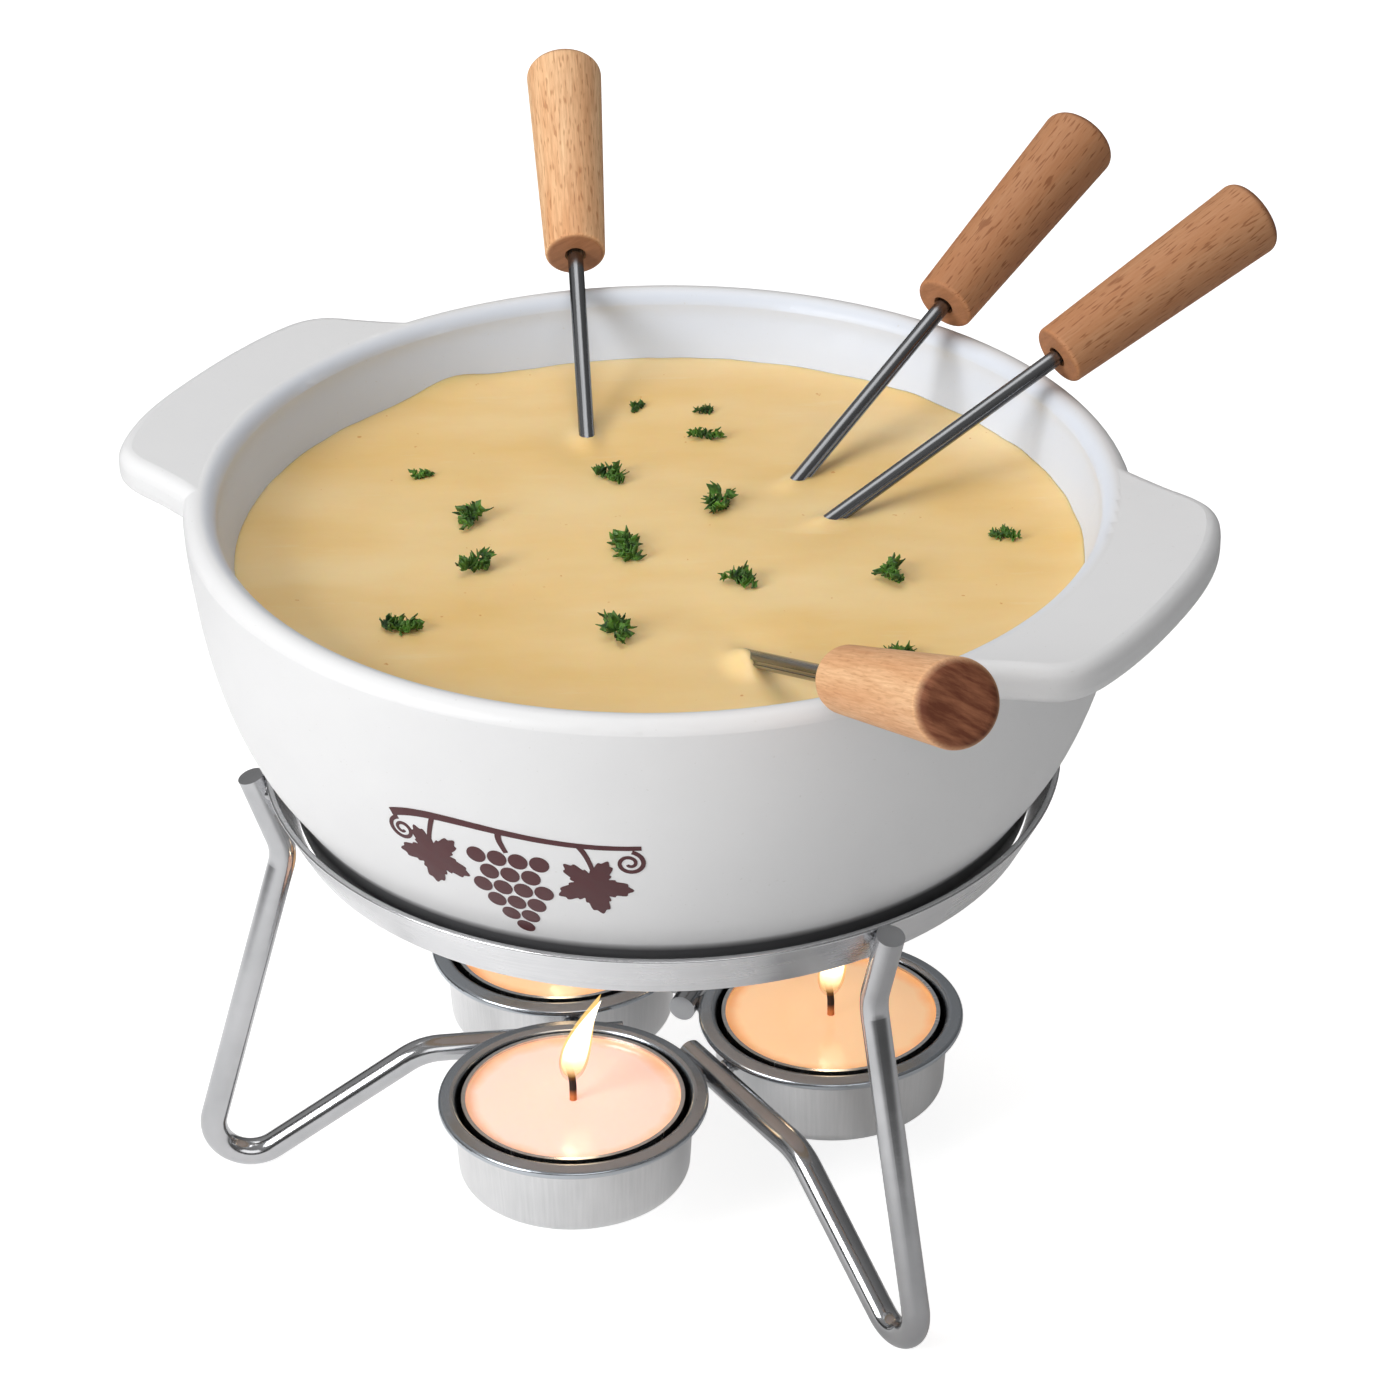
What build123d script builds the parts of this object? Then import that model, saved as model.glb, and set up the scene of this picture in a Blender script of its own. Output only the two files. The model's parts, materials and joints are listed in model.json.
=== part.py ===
from build123d import *
import math
import os

# Small table fondue: a ceramic bowl on a welded wire stand with three tealights and
# four two-pronged forks. Millimetres, +Z up, feet on Z = 0, stand axis on the Z axis.

# ---------------------------------------------------------------- driving dimensions
# support ring: a plain conical band that the bowl drops into
ring_bottom_r = 62.8
ring_top_r = 67.2
ring_bottom_z = 70.8
ring_top_z = 79.2
ring_sheet = 1.1
ring_edge_fillet = 0.35

# bent wire legs, each drawn in its own upright plane as (radius, height)
wire_r = 2.35
leg_top = (69.2, 78.4)
leg_kink = (64.3, 63.5)
leg_foot_corners = ((83.9, -6.4), (81.9, -6.4), (81.9, -6.4))
leg_inner_bend = (42.6, 21.2)
leg_inner_end = (7.6, 21.2)
leg_kink_fillet = 9.0
leg_inner_fillet = 11.0
leg_angles = (-174.2, -58.9, 69.0)
ring_weld_r = 2.1
ring_weld_spot = (66.9, 75.4)
cup_weld_bite = 0.55
cup_weld_z = 20.9
weld_space_limit = 4.4

# candle holders: pressed cups with a rounded flange
holder_spots = ((-16.0, -24.6), (28.6, 0.2), (-18.6, 24.0))
holder_cup_r = 20.5
holder_cup_base_r = 19.65
holder_bore_r = 20.0
holder_bore_base_r = 19.1
holder_bottom_z = 10.2
holder_floor_z = 11.0
holder_flange_r = 23.0
holder_flange_bottom_z = 23.6
holder_flange_outer_z = 25.0
holder_lip_z = 25.5
holder_corner_fillet = 2.2
holder_floor_fillet = 1.4
holder_roll_fillet = 0.65
holder_lip_fillet = 1.0

# tealights
tealight_gap = 0.02
tealight_r = 18.7
tealight_roll_r = 19.0
tealight_wall = 0.38
tealight_height = 14.0
tealight_corner_fillet = 1.4
tealight_inner_fillet = 1.02
tealight_roll_height = 0.8
wax_gap = 0.02
wax_bottom_lift = 1.05
wax_top_z = 24.2
wax_edge_rise = 0.35
wax_edge_width = 1.6
wax_edge_slope = (-0.4, -1)
wick_r = 0.62
wick_bore_gap = 0.05
wick_straight = 2.45
wick_curve_r = 14.0
wick_curve_deg = 20.0
tab_r = 6.5
tab_thickness = 0.3
tab_collar_r = 1.5
tab_collar_height = 2.2

# bowl, given as (radius, height) points on the outer and inner faces
bowl_base_z = 66.5
bowl_foot_r = 52.0
bowl_recess_r = 45.0
bowl_recess_depth = 0.9
bowl_outer = (
    (57.4, 67.8),
    (60.75, 70.4),
    (61.95, 72.6),
    (62.5, 76.0),
    (63.5, 79.2),
    (65.5, 82.4),
    (67.9, 86.0),
    (70.9, 92.0),
    (73.7, 100.0),
    (75.55, 108.0),
    (76.75, 116.0),
    (77.5, 123.0),
    (77.7, 126.5),
)
rim_top = (75.0, 128.7)
bowl_inner = (
    (72.3, 126.5),
    (71.5, 123.0),
    (69.8, 117.2),
    (67.9, 109.0),
    (65.0, 100.0),
    (61.2, 91.0),
    (56.2, 82.0),
    (51.0, 76.0),
    (44.0, 72.6),
)
bowl_floor_z = 71.8
bowl_floor_flat_r = 36.0
cavity_cut_top_z = 140.0

# ears, as (radius, half angle) points from inside the wall out to the tip
ear_angles = (151.8, -25.3)
ear_near_flank = (
    (75.1, 31.2),
    (77.6, 27.2),
    (80.5, 25.0),
    (84.0, 22.9),
    (87.4, 21.0),
    (89.6, 18.6),
    (90.5, 14.0),
)
ear_far_flank = (
    (75.1, 32.4),
    (77.6, 28.4),
    (80.5, 25.9),
    (84.0, 23.5),
    (87.6, 21.5),
    (90.5, 19.2),
    (91.9, 15.2),
)
ear_tip_r = 90.9
ear_bottom_z = 122.1
ear_top_z = 128.66
ear_edge_fillet = 2.4

# cheese filling
cheese_top_z = 117.2
cheese_overfill = 0.9

# forks: entry point on the cheese, heading, climb and free shaft above the cheese
fork_entries = ((-12.2, 40.2), (23.7, 23.1), (29.1, 9.0), (14.2, -37.8))
fork_headings = (92.9, 50.7, 32.5, -69.2)
fork_climbs = (23.6, 22.5, 20.6, 23.3)
fork_free_shafts = (41.2, 44.1, 48.7, 41.9)
fork_reach = 76.0
fork_shaft_r = 1.4
fork_groove_r = 0.42
fork_groove_offset = 1.45
fork_tang = 26.0
fork_prong_thickness = 1.7
fork_head_start = 19.0
fork_head_half_width = 3.1
fork_gap_half_width = 1.4
fork_prong_tip = (2.3, 0.0)
fork_prong_point = 3.5
fork_gap_end = 13.5
fork_shoulder = 15.5
fork_neck = 22.0
fork_slot_margin = 0.4
fork_slot_corner = 1.6

# turned wooden handles
handle_length = 44.6
handle_near_r = 5.3
handle_far_r = 6.8
handle_near_fillet = 0.9
handle_far_fillet = 1.9
handle_mouth_r = 1.85
handle_mouth_depth = 5.0
handle_bore_r = 1.46
handle_bore_depth = 27.0


def save(part, name):
    part.label = name
    export_step(part, f"parts/{name}.step")


def polar(radius, degrees):
    turn = math.radians(degrees)
    return (radius * math.cos(turn), radius * math.sin(turn))


def upright_plane(degrees):
    # local X runs out from the stand axis, local Y runs up
    turn = math.radians(degrees)
    out = (math.cos(turn), math.sin(turn), 0)
    side = (math.sin(turn), -math.cos(turn), 0)
    return Plane(origin=(0, 0, 0), x_dir=out, z_dir=side)


def fork_directions(index):
    heading = math.radians(fork_headings[index])
    climb = math.radians(fork_climbs[index])
    flat = math.cos(climb)
    along = Vector(flat * math.cos(heading), flat * math.sin(heading), math.sin(climb))
    across = Vector(-math.sin(heading), math.cos(heading), 0)
    return along, across


def fork_cross_plane(index, distance):
    # plane square to the fork, its origin measured from the cheese surface
    along, across = fork_directions(index)
    entry = Vector(*fork_entries[index], cheese_top_z)
    return Plane(origin=entry + along * distance, x_dir=across, z_dir=along)


def fork_flat_plane(index, distance):
    # plane holding the fork axis: local X across the prongs, local Y along the fork
    along, across = fork_directions(index)
    entry = Vector(*fork_entries[index], cheese_top_z)
    face = across.cross(along)
    return Plane(origin=entry + along * distance, x_dir=across, z_dir=face)


# ---------------------------------------------------------------------------- stand
def build_ring():
    slope = math.atan2(ring_top_r - ring_bottom_r, ring_top_z - ring_bottom_z)
    across = ring_sheet / math.cos(slope)
    with BuildPart() as ring:
        with BuildSketch(Plane.XZ) as section:
            with BuildLine():
                Polyline(
                    (ring_bottom_r - across, ring_bottom_z),
                    (ring_bottom_r, ring_bottom_z),
                    (ring_top_r, ring_top_z),
                    (ring_top_r - across, ring_top_z),
                    close=True,
                )
            make_face()
            fillet(section.vertices(), radius=ring_edge_fillet)
        revolve(axis=Axis.Z)
    return ring.part


def build_holder(spot):
    corners = (
        (holder_cup_base_r, holder_bottom_z, holder_corner_fillet),
        (holder_flange_r, holder_flange_bottom_z, holder_roll_fillet),
        (holder_flange_r, holder_flange_outer_z, holder_roll_fillet),
        (holder_bore_r, holder_lip_z, holder_lip_fillet),
        (holder_bore_base_r, holder_floor_z, holder_floor_fillet),
    )
    with BuildPart() as holder:
        with BuildSketch(Plane.XZ) as section:
            with BuildLine():
                Polyline(
                    (0, holder_bottom_z),
                    (holder_cup_base_r, holder_bottom_z),
                    (holder_cup_r, holder_flange_bottom_z),
                    (holder_flange_r, holder_flange_bottom_z),
                    (holder_flange_r, holder_flange_outer_z),
                    (holder_bore_r, holder_lip_z),
                    (holder_bore_base_r, holder_floor_z),
                    (0, holder_floor_z),
                    close=True,
                )
            make_face()
            for radius, height, rounding in corners:
                nearest = section.vertices().sort_by_distance((radius, height, 0))[0]
                fillet(nearest, radius=rounding)
        revolve(axis=Axis.Z)
    return holder.part.moved(Location((spot[0], spot[1], 0)))


def weld_beads(degrees):
    # beads between a wire and the candle cups it passes close to: (x, y, radius, turn),
    # turned so that the sphere's seam is buried in the wire
    turn = math.radians(degrees)
    beads = []
    for spot in holder_spots:
        along = spot[0] * math.cos(turn) + spot[1] * math.sin(turn)
        aside = spot[1] * math.cos(turn) - spot[0] * math.sin(turn)
        space = abs(aside) - holder_cup_r - wire_r
        if along > 0 and space < weld_space_limit:
            reach = math.copysign(wire_r + space / 2, aside)
            bead_x = along * math.cos(turn) - reach * math.sin(turn)
            bead_y = along * math.sin(turn) + reach * math.cos(turn)
            bead_turn = degrees - math.copysign(90, aside)
            beads.append((bead_x, bead_y, space / 2 + cup_weld_bite, bead_turn))
    return beads


def foot_fillet(corner):
    # rounding of the wire's centre line that puts the bend's lowest line on Z = 0
    up = (Vector(*leg_kink) - Vector(*corner)).normalized()
    inward = (Vector(*leg_inner_bend) - Vector(*corner)).normalized()
    bisector = (up + inward).normalized()
    half_angle = math.radians(up.get_angle(inward)) / 2
    return (wire_r - corner[1]) / (bisector.Y / math.sin(half_angle) - 1)


def build_leg(index, neighbours):
    degrees = leg_angles[index]
    foot_corner = leg_foot_corners[index]
    leg_plane = upright_plane(degrees)
    corners = (
        (leg_kink, leg_kink_fillet),
        (foot_corner, foot_fillet(foot_corner)),
        (leg_inner_bend, leg_inner_fillet),
    )
    with BuildPart() as leg:
        with BuildLine(leg_plane) as path:
            Polyline(leg_top, leg_kink, foot_corner, leg_inner_bend, leg_inner_end)
            for corner, rounding in corners:
                spot = leg_plane.from_local_coords((corner[0], corner[1], 0))
                nearest = path.vertices().sort_by_distance(spot)[0]
                fillet(nearest, radius=rounding)
        wire = path.wire()
        with BuildSketch(Plane(origin=wire @ 0, z_dir=wire % 0)):
            Circle(wire_r)
        sweep()
        with Locations(leg_plane.from_local_coords((*ring_weld_spot, 0))):
            Sphere(ring_weld_r)
        for bead_x, bead_y, bead_r, bead_turn in weld_beads(degrees):
            with Locations((bead_x, bead_y, cup_weld_z)):
                Sphere(bead_r, rotation=(0, 0, bead_turn))
        for neighbour in neighbours:
            add(neighbour, mode=Mode.SUBTRACT)
    return leg.part


# ------------------------------------------------------------------------ tealights
def build_tealight_cup(spot):
    bottom = holder_floor_z + tealight_gap
    top = bottom + tealight_height
    roll_bottom = top - tealight_roll_height
    inside = tealight_r - tealight_wall
    with BuildPart() as cup:
        with BuildSketch(Plane.XZ) as section:
            with BuildLine():
                Polyline(
                    (0, bottom),
                    (tealight_r, bottom),
                    (tealight_r, roll_bottom),
                    (tealight_roll_r, roll_bottom),
                    (tealight_roll_r, top),
                    (inside, top),
                    (inside, bottom + tealight_wall),
                    (0, bottom + tealight_wall),
                    close=True,
                )
            make_face()
            corners = (
                (tealight_r, bottom, tealight_corner_fillet),
                (inside, bottom + tealight_wall, tealight_inner_fillet),
            )
            for radius, height, rounding in corners:
                nearest = section.vertices().sort_by_distance((radius, height, 0))[0]
                fillet(nearest, radius=rounding)
        revolve(axis=Axis.Z)
    return cup.part.moved(Location((spot[0], spot[1], 0)))


def build_wax(spot):
    bottom = holder_floor_z + tealight_gap + tealight_wall + wax_bottom_lift
    edge_r = tealight_r - tealight_wall - wax_gap
    collar_space_r = tab_collar_r + wick_bore_gap
    collar_space_top = bottom + tab_collar_height
    bore_r = wick_r + wick_bore_gap
    with BuildPart() as wax:
        with BuildSketch(Plane.XZ):
            with BuildLine():
                Line((bore_r, wax_top_z), (bore_r, collar_space_top))
                Line((bore_r, collar_space_top), (collar_space_r, collar_space_top))
                Line((collar_space_r, collar_space_top), (collar_space_r, bottom))
                Line((collar_space_r, bottom), (edge_r, bottom))
                Line((edge_r, bottom), (edge_r, wax_top_z + wax_edge_rise))
                Spline(
                    (edge_r, wax_top_z + wax_edge_rise),
                    (edge_r - wax_edge_width, wax_top_z),
                    (bore_r, wax_top_z),
                    tangents=(wax_edge_slope, (-1, 0)),
                )
            make_face()
        revolve(axis=Axis.Z)
    return wax.part.moved(Location((spot[0], spot[1], 0)))


def build_wick(spot):
    bottom = holder_floor_z + tealight_gap + tealight_wall + tab_thickness + wick_bore_gap
    bend_z = wax_top_z + wick_straight
    with BuildPart() as wick:
        with BuildLine(Plane.XZ):
            Line((0, bottom), (0, bend_z))
            JernArc((0, bend_z), (0, 1), wick_curve_r, wick_curve_deg)
        with BuildSketch(Plane.XY.offset(bottom)):
            Circle(wick_r)
        sweep()
    return wick.part.moved(Location((spot[0], spot[1], 0)))


def build_wick_tab(spot):
    bottom = holder_floor_z + tealight_gap + tealight_wall + wick_bore_gap
    with BuildPart() as tab:
        with BuildSketch(Plane.XY.offset(bottom)):
            Circle(tab_r)
        extrude(amount=tab_thickness - wick_bore_gap)
        with BuildSketch(Plane.XY.offset(bottom)):
            Circle(tab_collar_r)
        extrude(amount=tab_collar_height)
        with BuildSketch(Plane.XY.offset(bottom + tab_thickness - wick_bore_gap)):
            Circle(wick_r + wick_bore_gap / 2)
        extrude(amount=tab_collar_height, mode=Mode.SUBTRACT)
    return tab.part.moved(Location((spot[0], spot[1], 0)))


# ----------------------------------------------------------------------------- bowl
def build_bowl_outside():
    recess_z = bowl_base_z + bowl_recess_depth
    recess_edge_r = bowl_recess_r + bowl_recess_depth
    lip_z = bowl_inner[0][1]
    with BuildPart() as outside:
        with BuildSketch(Plane.XZ):
            with BuildLine():
                Line((0, recess_z), (bowl_recess_r, recess_z))
                Line((bowl_recess_r, recess_z), (recess_edge_r, bowl_base_z))
                Line((recess_edge_r, bowl_base_z), (bowl_foot_r, bowl_base_z))
                Spline((bowl_foot_r, bowl_base_z), *bowl_outer)
                ThreePointArc(bowl_outer[-1], rim_top, bowl_inner[0])
                Line(bowl_inner[0], (0, lip_z))
                Line((0, lip_z), (0, recess_z))
            make_face()
        revolve(axis=Axis.Z)
    return outside.part


def build_bowl_cavity():
    floor_edge = (bowl_floor_flat_r, bowl_floor_z)
    lip_r = bowl_inner[0][0]
    with BuildPart() as cavity:
        with BuildSketch(Plane.XZ):
            with BuildLine():
                Spline(*bowl_inner, floor_edge, tangents=((0, -1), (-1, 0)))
                Line(floor_edge, (0, bowl_floor_z))
                Line((0, bowl_floor_z), (0, cavity_cut_top_z))
                Line((0, cavity_cut_top_z), (lip_r, cavity_cut_top_z))
                Line((lip_r, cavity_cut_top_z), bowl_inner[0])
            make_face()
        revolve(axis=Axis.Z)
    return cavity.part


def build_ear(degrees):
    # the root is an arc that stays inside the thickness of the wall
    near_side = [polar(radius, degrees - half) for radius, half in ear_near_flank]
    far_side = [polar(radius, degrees + half) for radius, half in ear_far_flank]
    root_middle = polar(ear_near_flank[0][0], degrees)
    with BuildPart() as ear:
        with BuildSketch(Plane.XY.offset(ear_bottom_z)):
            with BuildLine():
                Spline(*near_side, polar(ear_tip_r, degrees), *reversed(far_side))
                ThreePointArc(far_side[0], root_middle, near_side[0])
            make_face()
        extrude(amount=ear_top_z - ear_bottom_z)
        outline_edges = ear.edges().filter_by(GeomType.BSPLINE)
        fillet(outline_edges, radius=ear_edge_fillet)
    return ear.part


def build_cheese(bowl):
    # drawn a little too wide, then trimmed to the bowl's own inner face
    under = [(radius + cheese_overfill, height - cheese_overfill) for radius, height in bowl_inner[3:]]
    floor_edge = (bowl_floor_flat_r, bowl_floor_z - cheese_overfill)
    top_edge = (bowl_inner[2][0] + cheese_overfill, cheese_top_z)
    with BuildPart() as cheese:
        with BuildSketch(Plane.XZ):
            with BuildLine():
                Polyline(
                    top_edge,
                    *under,
                    floor_edge,
                    (0, floor_edge[1]),
                    (0, cheese_top_z),
                    close=True,
                )
            make_face()
        revolve(axis=Axis.Z)
        add(bowl, mode=Mode.SUBTRACT)
        for index in range(len(fork_entries)):
            depth = fork_reach - fork_free_shafts[index] + fork_slot_margin
            with BuildSketch(fork_cross_plane(index, -depth)):
                RectangleRounded(
                    2 * (fork_head_half_width + fork_slot_margin),
                    2 * (fork_shaft_r + fork_slot_margin),
                    fork_slot_corner,
                )
            extrude(amount=2 * depth, mode=Mode.SUBTRACT)
    return cheese.part


# ---------------------------------------------------------------------------- forks
def build_prongs(index):
    tip_distance = fork_free_shafts[index] - fork_reach
    shaft_length = fork_reach - fork_head_start + fork_tang
    with BuildPart() as prongs:
        with BuildSketch(fork_cross_plane(index, tip_distance + fork_head_start)):
            Circle(fork_shaft_r)
            with Locations((fork_groove_offset, 0), (-fork_groove_offset, 0)):
                Circle(fork_groove_r, mode=Mode.SUBTRACT)
        extrude(amount=shaft_length)
        with BuildSketch(fork_flat_plane(index, tip_distance)):
            with BuildLine():
                Line((-fork_gap_half_width, fork_prong_point), fork_left(fork_prong_tip))
                Line(fork_left(fork_prong_tip), (-fork_head_half_width, fork_prong_point))
                Line((-fork_head_half_width, fork_prong_point), (-fork_head_half_width, fork_shoulder))
                Spline(
                    (-fork_head_half_width, fork_shoulder),
                    (-fork_shaft_r, fork_neck),
                    tangents=((0, 1), (0, 1)),
                )
                Line((-fork_shaft_r, fork_neck), (fork_shaft_r, fork_neck))
                Spline(
                    (fork_shaft_r, fork_neck),
                    (fork_head_half_width, fork_shoulder),
                    tangents=((0, -1), (0, -1)),
                )
                Line((fork_head_half_width, fork_shoulder), (fork_head_half_width, fork_prong_point))
                Line((fork_head_half_width, fork_prong_point), fork_prong_tip)
                Line(fork_prong_tip, (fork_gap_half_width, fork_prong_point))
                Line((fork_gap_half_width, fork_prong_point), (fork_gap_half_width, fork_gap_end))
                ThreePointArc(
                    (fork_gap_half_width, fork_gap_end),
                    (0, fork_gap_end + fork_gap_half_width),
                    (-fork_gap_half_width, fork_gap_end),
                )
                Line((-fork_gap_half_width, fork_gap_end), (-fork_gap_half_width, fork_prong_point))
            make_face()
        extrude(amount=fork_prong_thickness / 2, both=True)
    return prongs.part


def fork_left(point):
    return (-point[0], point[1])


def build_handle(index):
    flat_plane = fork_flat_plane(index, fork_free_shafts[index])
    with BuildPart() as handle:
        with BuildSketch(flat_plane) as section:
            with BuildLine():
                Polyline(
                    (handle_mouth_r, 0),
                    (handle_near_r, 0),
                    (handle_far_r, handle_length),
                    (0, handle_length),
                    (0, handle_bore_depth),
                    (handle_bore_r, handle_bore_depth),
                    (handle_bore_r, handle_mouth_depth),
                    (handle_mouth_r, handle_mouth_depth),
                    close=True,
                )
            make_face()
            corners = (
                (handle_near_r, 0, handle_near_fillet),
                (handle_far_r, handle_length, handle_far_fillet),
            )
            for radius, distance, rounding in corners:
                fillet(section.vertices().sort_by_distance((radius, distance, 0))[0], radius=rounding)
        revolve(axis=Axis(flat_plane.origin, flat_plane.y_dir))
    return handle.part


# --------------------------------------------------------------------------- output
os.makedirs("parts", exist_ok=True)

support_ring = build_ring()
holders = [build_holder(spot) for spot in holder_spots]
save(support_ring, "support_ring")
for index, holder in enumerate(holders):
    save(holder, f"candle_holder_{index + 1}")
    save(build_leg(index, [support_ring, *holders]), f"leg_{index + 1}")
for index, spot in enumerate(holder_spots):
    save(build_tealight_cup(spot), f"tealight_cup_{index + 1}")
    save(build_wax(spot), f"wax_{index + 1}")
    save(build_wick(spot), f"wick_{index + 1}")
    save(build_wick_tab(spot), f"wick_tab_{index + 1}")
ears = [build_ear(degrees) for degrees in ear_angles]
bowl = build_bowl_outside() + ears - build_bowl_cavity()
save(bowl, "bowl")
save(build_cheese(bowl), "cheese_fondue")
for index in range(len(fork_entries)):
    save(build_prongs(index), f"fork_{index + 1}_prongs")
    save(build_handle(index), f"fork_{index + 1}_handle")
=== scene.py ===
import bmesh
import bpy
import json
import math
import random
from mathutils import Matrix, Vector, noise
from mathutils.bvhtree import BVHTree


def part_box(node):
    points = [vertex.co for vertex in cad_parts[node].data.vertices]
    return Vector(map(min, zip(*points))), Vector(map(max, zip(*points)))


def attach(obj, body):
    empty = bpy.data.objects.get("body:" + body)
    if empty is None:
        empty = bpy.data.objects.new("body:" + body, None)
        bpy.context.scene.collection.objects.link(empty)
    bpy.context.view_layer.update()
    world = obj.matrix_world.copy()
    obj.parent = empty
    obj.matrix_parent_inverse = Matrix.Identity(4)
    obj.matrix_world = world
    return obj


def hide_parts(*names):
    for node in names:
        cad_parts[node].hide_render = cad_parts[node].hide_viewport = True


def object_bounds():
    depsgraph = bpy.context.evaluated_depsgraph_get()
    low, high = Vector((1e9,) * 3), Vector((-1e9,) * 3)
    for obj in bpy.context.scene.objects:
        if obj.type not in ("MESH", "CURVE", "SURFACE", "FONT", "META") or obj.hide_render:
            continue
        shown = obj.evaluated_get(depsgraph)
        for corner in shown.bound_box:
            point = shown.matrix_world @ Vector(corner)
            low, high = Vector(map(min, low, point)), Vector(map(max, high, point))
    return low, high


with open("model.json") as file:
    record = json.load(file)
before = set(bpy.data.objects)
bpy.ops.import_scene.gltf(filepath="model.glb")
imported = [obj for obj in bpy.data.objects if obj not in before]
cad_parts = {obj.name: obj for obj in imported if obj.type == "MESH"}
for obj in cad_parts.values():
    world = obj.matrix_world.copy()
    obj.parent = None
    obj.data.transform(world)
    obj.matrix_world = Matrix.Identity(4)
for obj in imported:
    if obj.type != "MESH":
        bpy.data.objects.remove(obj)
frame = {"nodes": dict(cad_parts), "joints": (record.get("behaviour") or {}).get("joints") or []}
cad_low, cad_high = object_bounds()

# Looks of a small table fondue. Metres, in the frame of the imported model.

MM = 0.001
TEALIGHTS = (1, 2, 3)
FORKS = (1, 2, 3, 4)


# ------------------------------------------------------------------ reading the frame
def spot_of(node):
    low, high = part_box(node)
    return (low + high) / 2


def tree_of(node):
    mesh = frame["nodes"][node].data
    points = [vertex.co.copy() for vertex in mesh.vertices]
    return BVHTree.FromPolygons(points, [list(face.vertices) for face in mesh.polygons])


def joint_axis(name):
    found = [joint for joint in frame["joints"] if joint["name"] == name]
    return Vector(found[0]["axis"]).normalized()


def middle_of(node):
    points = [vertex.co for vertex in frame["nodes"][node].data.vertices]
    return sum(points, Vector()) / len(points)


cheese_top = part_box("cheese_fondue")[1].z
cheese_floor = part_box("cheese_fondue")[0].z
bowl_tree = tree_of("bowl")


def fork_entry(index):
    # where the fork's axis meets the cheese surface
    axis = joint_axis(f"fork_{index}_pull")
    middle = middle_of(f"fork_{index}_prongs")
    return middle + axis * ((cheese_top - middle.z) / axis.z)


def inner_wall(angle, height):
    # distance from the bowl's axis to its inner wall
    out = Vector((math.cos(angle), math.sin(angle), 0))
    hit = bowl_tree.ray_cast(Vector((0, 0, height)), out)
    return hit[3]


# -------------------------------------------------------------------- material helpers
def srgb(red, green, blue):
    def linear(value):
        value = value / 255
        return value / 12.92 if value <= 0.04045 else ((value + 0.055) / 1.055) ** 2.4

    return (linear(red), linear(green), linear(blue), 1.0)


def start_material(name):
    material = bpy.data.materials.new(name)
    material.use_nodes = True
    tree = material.node_tree
    return material, tree, tree.nodes["Principled BSDF"]


def node(tree, kind, inputs=None, **settings):
    made = tree.nodes.new(kind)
    for key, value in settings.items():
        setattr(made, key, value)
    for key, value in (inputs or {}).items():
        socket = made.inputs[key]
        if isinstance(value, bpy.types.NodeSocket):
            tree.links.new(value, socket)
        else:
            socket.default_value = value
    return made


def plug(tree, source, shader, name):
    tree.links.new(source, shader.inputs[name])


def object_coords(tree):
    return node(tree, "ShaderNodeTexCoord").outputs["Object"]


def stretched(tree, coords, scale):
    return node(tree, "ShaderNodeMapping", {"Vector": coords, "Scale": scale}).outputs[0]


def noise_of(tree, coords, scale, detail=4.0, roughness=0.55):
    inputs = {"Vector": coords, "Scale": scale, "Detail": detail, "Roughness": roughness}
    return node(tree, "ShaderNodeTexNoise", inputs).outputs[0]


def spread(tree, factor, low, high, start=0.0, end=1.0):
    inputs = {"Value": factor, "From Min": start, "From Max": end, "To Min": low, "To Max": high}
    return node(tree, "ShaderNodeMapRange", inputs).outputs[0]


def mix_colours(tree, factor, low, high):
    made = node(tree, "ShaderNodeMix", data_type="RGBA")
    for index, value in ((0, factor), (6, low), (7, high)):
        if isinstance(value, bpy.types.NodeSocket):
            tree.links.new(value, made.inputs[index])
        else:
            made.inputs[index].default_value = value
    return made.outputs[2]


def math_of(tree, operation, first, second=0.0):
    made = node(tree, "ShaderNodeMath", operation=operation)
    for index, value in enumerate((first, second)):
        if isinstance(value, bpy.types.NodeSocket):
            tree.links.new(value, made.inputs[index])
        else:
            made.inputs[index].default_value = value
    return made.outputs[0]


def bump_of(tree, height, strength, distance, below=None):
    inputs = {"Height": height, "Strength": strength, "Distance": distance}
    if below is not None:
        inputs["Normal"] = below
    return node(tree, "ShaderNodeBump", inputs).outputs[0]


def axis_parts(tree, coords):
    parts = node(tree, "ShaderNodeSeparateXYZ", {"Vector": coords})
    return parts.outputs[0], parts.outputs[1], parts.outputs[2]


def joined(tree, x, y, z):
    return node(tree, "ShaderNodeCombineXYZ", {"X": x, "Y": y, "Z": z}).outputs[0]


def around(tree, centre):
    # angle about an upright axis through centre, distance from it, and height
    moved = node(tree, "ShaderNodeVectorMath", {0: object_coords(tree), 1: centre}, operation="SUBTRACT")
    x, y, z = axis_parts(tree, moved.outputs[0])
    angle = math_of(tree, "ARCTAN2", y, x)
    squares = math_of(tree, "ADD", math_of(tree, "MULTIPLY", x, x), math_of(tree, "MULTIPLY", y, y))
    return angle, math_of(tree, "SQRT", squares), z


def dress(node_name, material):
    piece = frame["nodes"][node_name]
    if not piece.material_slots:
        piece.data.materials.append(material)
    for material_slot in piece.material_slots:
        material_slot.material = material


# --------------------------------------------------------------------------- materials
# the inner wall lies within these distances of the bowl's axis, where its painted shade fades out
INNER_WALL = (72.5 * MM, 75 * MM)


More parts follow.
